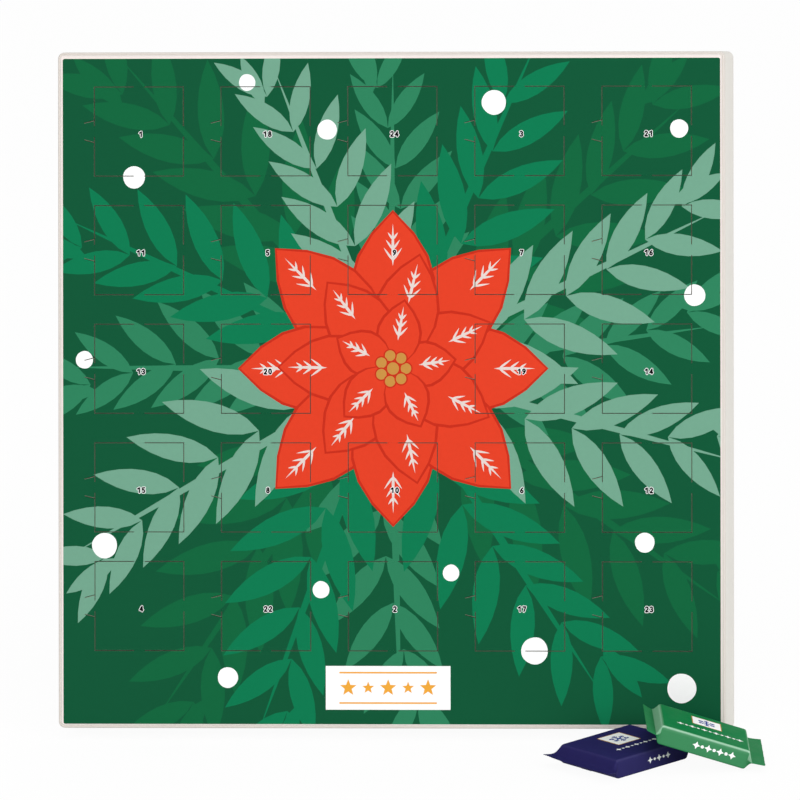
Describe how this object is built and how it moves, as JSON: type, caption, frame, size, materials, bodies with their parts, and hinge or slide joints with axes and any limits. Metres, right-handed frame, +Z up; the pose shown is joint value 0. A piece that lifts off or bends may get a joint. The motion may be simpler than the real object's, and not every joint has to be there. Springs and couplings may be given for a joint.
{
  "type": "chocolate advent calendar",
  "caption": "Flat square card calendar leaning back on a fold-out easel, with a grid of numbered opening doors over a moulded insert of wrapped chocolates.",
  "frame": {"origin": "bottom centre of the whole part's box, on the table that the case and the easel stand on", "axes": "+X to the right as seen from the front, +Y from the front to the back, +Z up"},
  "size_m": [0.3696, 0.2192, 0.3317],
  "materials": {
    "case_board": "matt coated board",
    "printed_card": "printed, satin",
    "moulded_fibre": "moulded pulp",
    "easel_board": "grey board",
    "boxed_film": "satin film",
    "navy_film": "satin film",
    "green_film": "satin film",
    "chocolate": "moulded"
  },
  "bodies": {
    "case": {"case_tray": "case_board", "front_frame": "case_board", "front_card": "printed_card", "pocket_insert": "moulded_fibre", "easel_patch": "easel_board", "chocolate_01": "boxed_film", "chocolate_02": "boxed_film", "chocolate_03": "boxed_film", "chocolate_04": "boxed_film", "chocolate_05": "boxed_film", "chocolate_06": "boxed_film", "chocolate_07": "boxed_film", "chocolate_08": "boxed_film", "chocolate_09": "boxed_film", "chocolate_10": "boxed_film", "chocolate_11": "boxed_film", "chocolate_12": "boxed_film", "chocolate_13": "boxed_film", "chocolate_14": "boxed_film", "chocolate_15": "boxed_film", "chocolate_16": "boxed_film", "chocolate_17": "boxed_film", "chocolate_18": "boxed_film", "chocolate_19": "boxed_film", "chocolate_20": "boxed_film", "chocolate_21": "boxed_film", "chocolate_22": "boxed_film", "chocolate_23": "boxed_film", "chocolate_24": "boxed_film"},
    "door_01": {"door_01": "printed_card"},
    "door_02": {"door_02": "printed_card"},
    "door_03": {"door_03": "printed_card"},
    "door_04": {"door_04": "printed_card"},
    "door_05": {"door_05": "printed_card"},
    "door_06": {"door_06": "printed_card"},
    "door_07": {"door_07": "printed_card"},
    "door_08": {"door_08": "printed_card"},
    "door_09": {"door_09": "printed_card"},
    "door_10": {"door_10": "printed_card"},
    "door_11": {"door_11": "printed_card"},
    "door_12": {"door_12": "printed_card"},
    "door_13": {"door_13": "printed_card"},
    "door_14": {"door_14": "printed_card"},
    "door_15": {"door_15": "printed_card"},
    "door_16": {"door_16": "printed_card"},
    "door_17": {"door_17": "printed_card"},
    "door_18": {"door_18": "printed_card"},
    "door_19": {"door_19": "printed_card"},
    "door_20": {"door_20": "printed_card"},
    "door_21": {"door_21": "printed_card"},
    "door_22": {"door_22": "printed_card"},
    "door_23": {"door_23": "printed_card"},
    "door_24": {"door_24": "printed_card"},
    "easel_fin": {"easel_fin": "easel_board"},
    "loose_navy": {"loose_wrapper_navy": "navy_film", "loose_bar_navy": "chocolate"},
    "loose_green": {"loose_wrapper_green": "green_film", "loose_bar_green": "chocolate"}
  },
  "joints": [
    {"name": "door_01_hinge", "type": "hinge", "parent": "case", "child": "door_01", "pos_m": [-0.12041, 0.04666, 0.29405], "axis": [0, 0.2756, 0.9613], "range_deg": [0, 170]},
    {"name": "door_02_hinge", "type": "hinge", "parent": "case", "child": "door_02", "pos_m": [0.00939, -0.01894, 0.06527], "axis": [0, 0.2756, 0.9613], "range_deg": [0, 170]},
    {"name": "door_03_hinge", "type": "hinge", "parent": "case", "child": "door_03", "pos_m": [0.07429, 0.04666, 0.29405], "axis": [0, 0.2756, 0.9613], "range_deg": [0, 170]},
    {"name": "door_04_hinge", "type": "hinge", "parent": "case", "child": "door_04", "pos_m": [-0.12041, -0.01894, 0.06527], "axis": [0, 0.2756, 0.9613], "range_deg": [0, 170]},
    {"name": "door_05_hinge", "type": "hinge", "parent": "case", "child": "door_05", "pos_m": [-0.05551, 0.03026, 0.23686], "axis": [0, 0.2756, 0.9613], "range_deg": [0, 170]},
    {"name": "door_06_hinge", "type": "hinge", "parent": "case", "child": "door_06", "pos_m": [0.07429, -0.00254, 0.12247], "axis": [0, 0.2756, 0.9613], "range_deg": [0, 170]},
    {"name": "door_07_hinge", "type": "hinge", "parent": "case", "child": "door_07", "pos_m": [0.07429, 0.03026, 0.23686], "axis": [0, 0.2756, 0.9613], "range_deg": [0, 170]},
    {"name": "door_08_hinge", "type": "hinge", "parent": "case", "child": "door_08", "pos_m": [-0.05551, -0.00254, 0.12247], "axis": [0, 0.2756, 0.9613], "range_deg": [0, 170]},
    {"name": "door_09_hinge", "type": "hinge", "parent": "case", "child": "door_09", "pos_m": [0.00939, 0.03026, 0.23686], "axis": [0, 0.2756, 0.9613], "range_deg": [0, 170]},
    {"name": "door_10_hinge", "type": "hinge", "parent": "case", "child": "door_10", "pos_m": [0.00939, -0.00254, 0.12247], "axis": [0, 0.2756, 0.9613], "range_deg": [0, 170]},
    {"name": "door_11_hinge", "type": "hinge", "parent": "case", "child": "door_11", "pos_m": [-0.12041, 0.03026, 0.23686], "axis": [0, 0.2756, 0.9613], "range_deg": [0, 170]},
    {"name": "door_12_hinge", "type": "hinge", "parent": "case", "child": "door_12", "pos_m": [0.13919, -0.00254, 0.12247], "axis": [0, 0.2756, 0.9613], "range_deg": [0, 170]},
    {"name": "door_13_hinge", "type": "hinge", "parent": "case", "child": "door_13", "pos_m": [-0.12041, 0.01386, 0.17966], "axis": [0, 0.2756, 0.9613], "range_deg": [0, 170]},
    {"name": "door_14_hinge", "type": "hinge", "parent": "case", "child": "door_14", "pos_m": [0.13919, 0.01386, 0.17966], "axis": [0, 0.2756, 0.9613], "range_deg": [0, 170]},
    {"name": "door_15_hinge", "type": "hinge", "parent": "case", "child": "door_15", "pos_m": [-0.12041, -0.00254, 0.12247], "axis": [0, 0.2756, 0.9613], "range_deg": [0, 170]},
    {"name": "door_16_hinge", "type": "hinge", "parent": "case", "child": "door_16", "pos_m": [0.13919, 0.03026, 0.23686], "axis": [0, 0.2756, 0.9613], "range_deg": [0, 170]},
    {"name": "door_17_hinge", "type": "hinge", "parent": "case", "child": "door_17", "pos_m": [0.07429, -0.01894, 0.06527], "axis": [0, 0.2756, 0.9613], "range_deg": [0, 170]},
    {"name": "door_18_hinge", "type": "hinge", "parent": "case", "child": "door_18", "pos_m": [-0.05551, 0.04666, 0.29405], "axis": [0, 0.2756, 0.9613], "range_deg": [0, 170]},
    {"name": "door_19_hinge", "type": "hinge", "parent": "case", "child": "door_19", "pos_m": [0.07429, 0.01386, 0.17966], "axis": [0, 0.2756, 0.9613], "range_deg": [0, 170]},
    {"name": "door_20_hinge", "type": "hinge", "parent": "case", "child": "door_20", "pos_m": [-0.05551, 0.01386, 0.17966], "axis": [0, 0.2756, 0.9613], "range_deg": [0, 170]},
    {"name": "door_21_hinge", "type": "hinge", "parent": "case", "child": "door_21", "pos_m": [0.13919, 0.04666, 0.29405], "axis": [0, 0.2756, 0.9613], "range_deg": [0, 170]},
    {"name": "door_22_hinge", "type": "hinge", "parent": "case", "child": "door_22", "pos_m": [-0.05551, -0.01894, 0.06527], "axis": [0, 0.2756, 0.9613], "range_deg": [0, 170]},
    {"name": "door_23_hinge", "type": "hinge", "parent": "case", "child": "door_23", "pos_m": [0.13919, -0.01894, 0.06527], "axis": [0, 0.2756, 0.9613], "range_deg": [0, 170]},
    {"name": "door_24_hinge", "type": "hinge", "parent": "case", "child": "door_24", "pos_m": [0.00939, 0.04666, 0.29405], "axis": [0, 0.2756, 0.9613], "range_deg": [0, 170]},
    {"name": "easel_hinge", "type": "hinge", "parent": "case", "child": "easel_fin", "pos_m": [-0.01366, -0.00496, 0.02043], "axis": [0, 0.2756, 0.9613], "range_deg": [-90, 0]},
    {"name": "navy_draw", "type": "slide", "parent": "case", "child": "loose_navy", "axis": [0, -0.9659, 0.2588], "range_m": [0, 0.08]},
    {"name": "green_lift", "type": "slide", "parent": "loose_navy", "child": "loose_green", "axis": [0, 0, 1], "range_m": [0, 0.08]}
  ]
}
